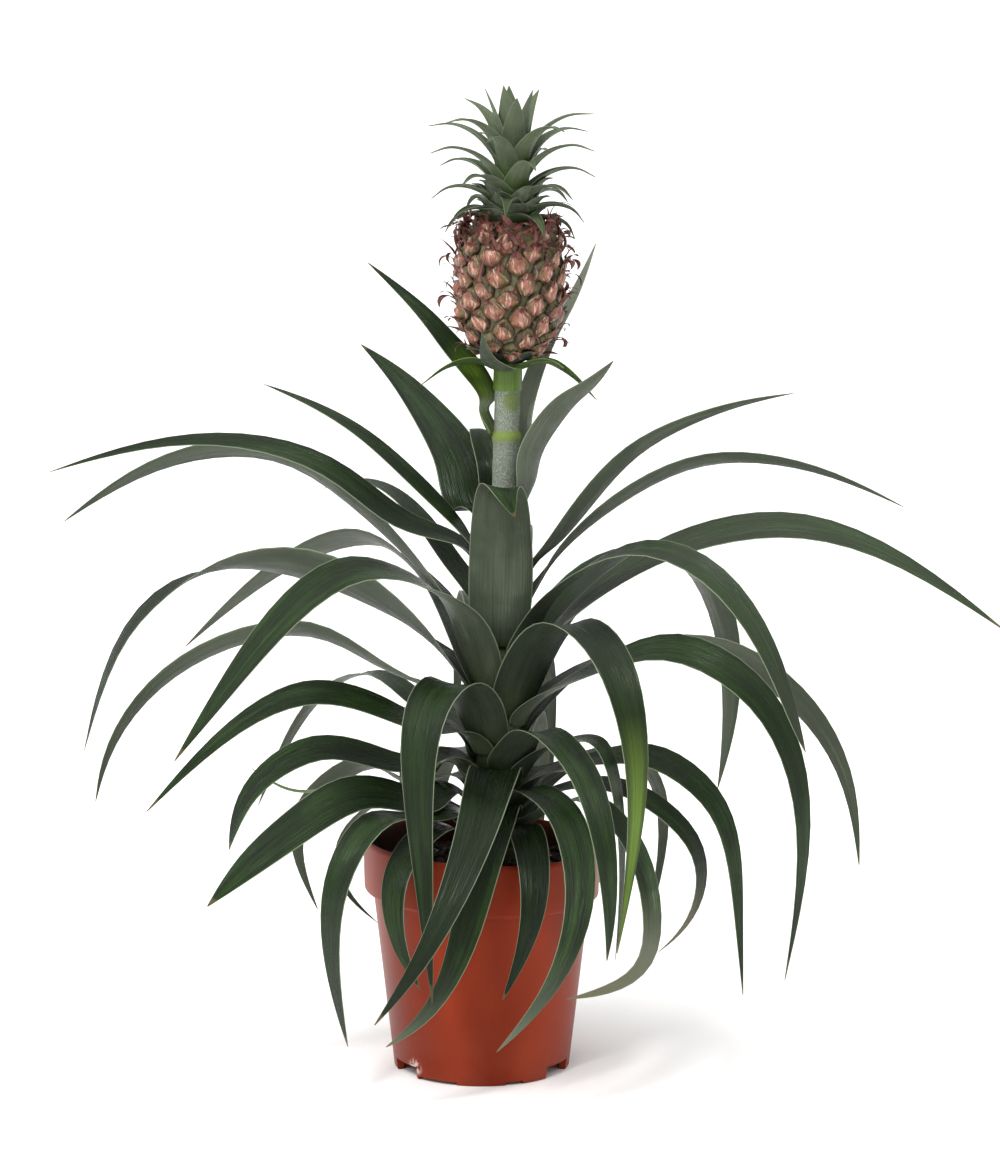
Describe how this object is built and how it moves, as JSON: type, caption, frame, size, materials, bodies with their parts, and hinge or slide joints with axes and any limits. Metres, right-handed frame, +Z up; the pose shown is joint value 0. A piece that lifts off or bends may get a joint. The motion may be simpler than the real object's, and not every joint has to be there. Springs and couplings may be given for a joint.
{
  "type": "potted pineapple plant",
  "caption": "Young pineapple plant in a round nursery pot: a rosette of long arching leaves around an upright stalk that carries a small fruit with a leafy crown.",
  "frame": {"origin": "middle of the outline seen from above, at the height of the surface that the pot stands on", "axes": "+Z up, -Y towards the front of the picture, +X to its right"},
  "size_m": [0.3614, 0.2574, 0.3744],
  "materials": {
    "pot": "satin terracotta-coloured plastic",
    "soil": "rough dark peat with pale grains",
    "stem": "matt, covered by the leaf sheaths",
    "stalk": "scurfy grey-green, bright green under the fruit",
    "fruit": "matt pink and olive eyes with dry brown bract tips",
    "crown": "satin grey-green",
    "leaf": "satin dark green above, grey-green below"
  },
  "bodies": {
    "root": {"pot": "pot", "soil": "soil", "stem": "stem", "fruit_stalk": "stalk", "fruit": "fruit", "crown": "crown", "leaf_01": "leaf", "leaf_02": "leaf", "leaf_03": "leaf", "leaf_04": "leaf", "leaf_05": "leaf", "leaf_06": "leaf", "leaf_07": "leaf", "leaf_08": "leaf", "leaf_09": "leaf", "leaf_10": "leaf", "leaf_11": "leaf", "leaf_12": "leaf", "leaf_13": "leaf", "leaf_14": "leaf", "leaf_15": "leaf", "leaf_16": "leaf", "leaf_17": "leaf", "leaf_18": "leaf", "leaf_19": "leaf", "leaf_20": "leaf", "leaf_21": "leaf", "leaf_22": "leaf", "leaf_23": "leaf", "leaf_24": "leaf", "leaf_25": "leaf", "leaf_26": "leaf", "leaf_27": "leaf", "leaf_28": "leaf", "leaf_29": "leaf", "leaf_30": "leaf", "leaf_31": "leaf", "leaf_32": "leaf", "leaf_33": "leaf", "leaf_34": "leaf", "leaf_35": "leaf", "leaf_36": "leaf", "leaf_37": "leaf", "leaf_38": "leaf", "leaf_39": "leaf", "leaf_40": "leaf", "leaf_41": "leaf", "leaf_42": "leaf", "leaf_43": "leaf", "leaf_44": "leaf", "leaf_45": "leaf", "leaf_46": "leaf", "leaf_47": "leaf", "leaf_48": "leaf", "leaf_49": "leaf", "leaf_50": "leaf"}
  },
  "joints": []
}
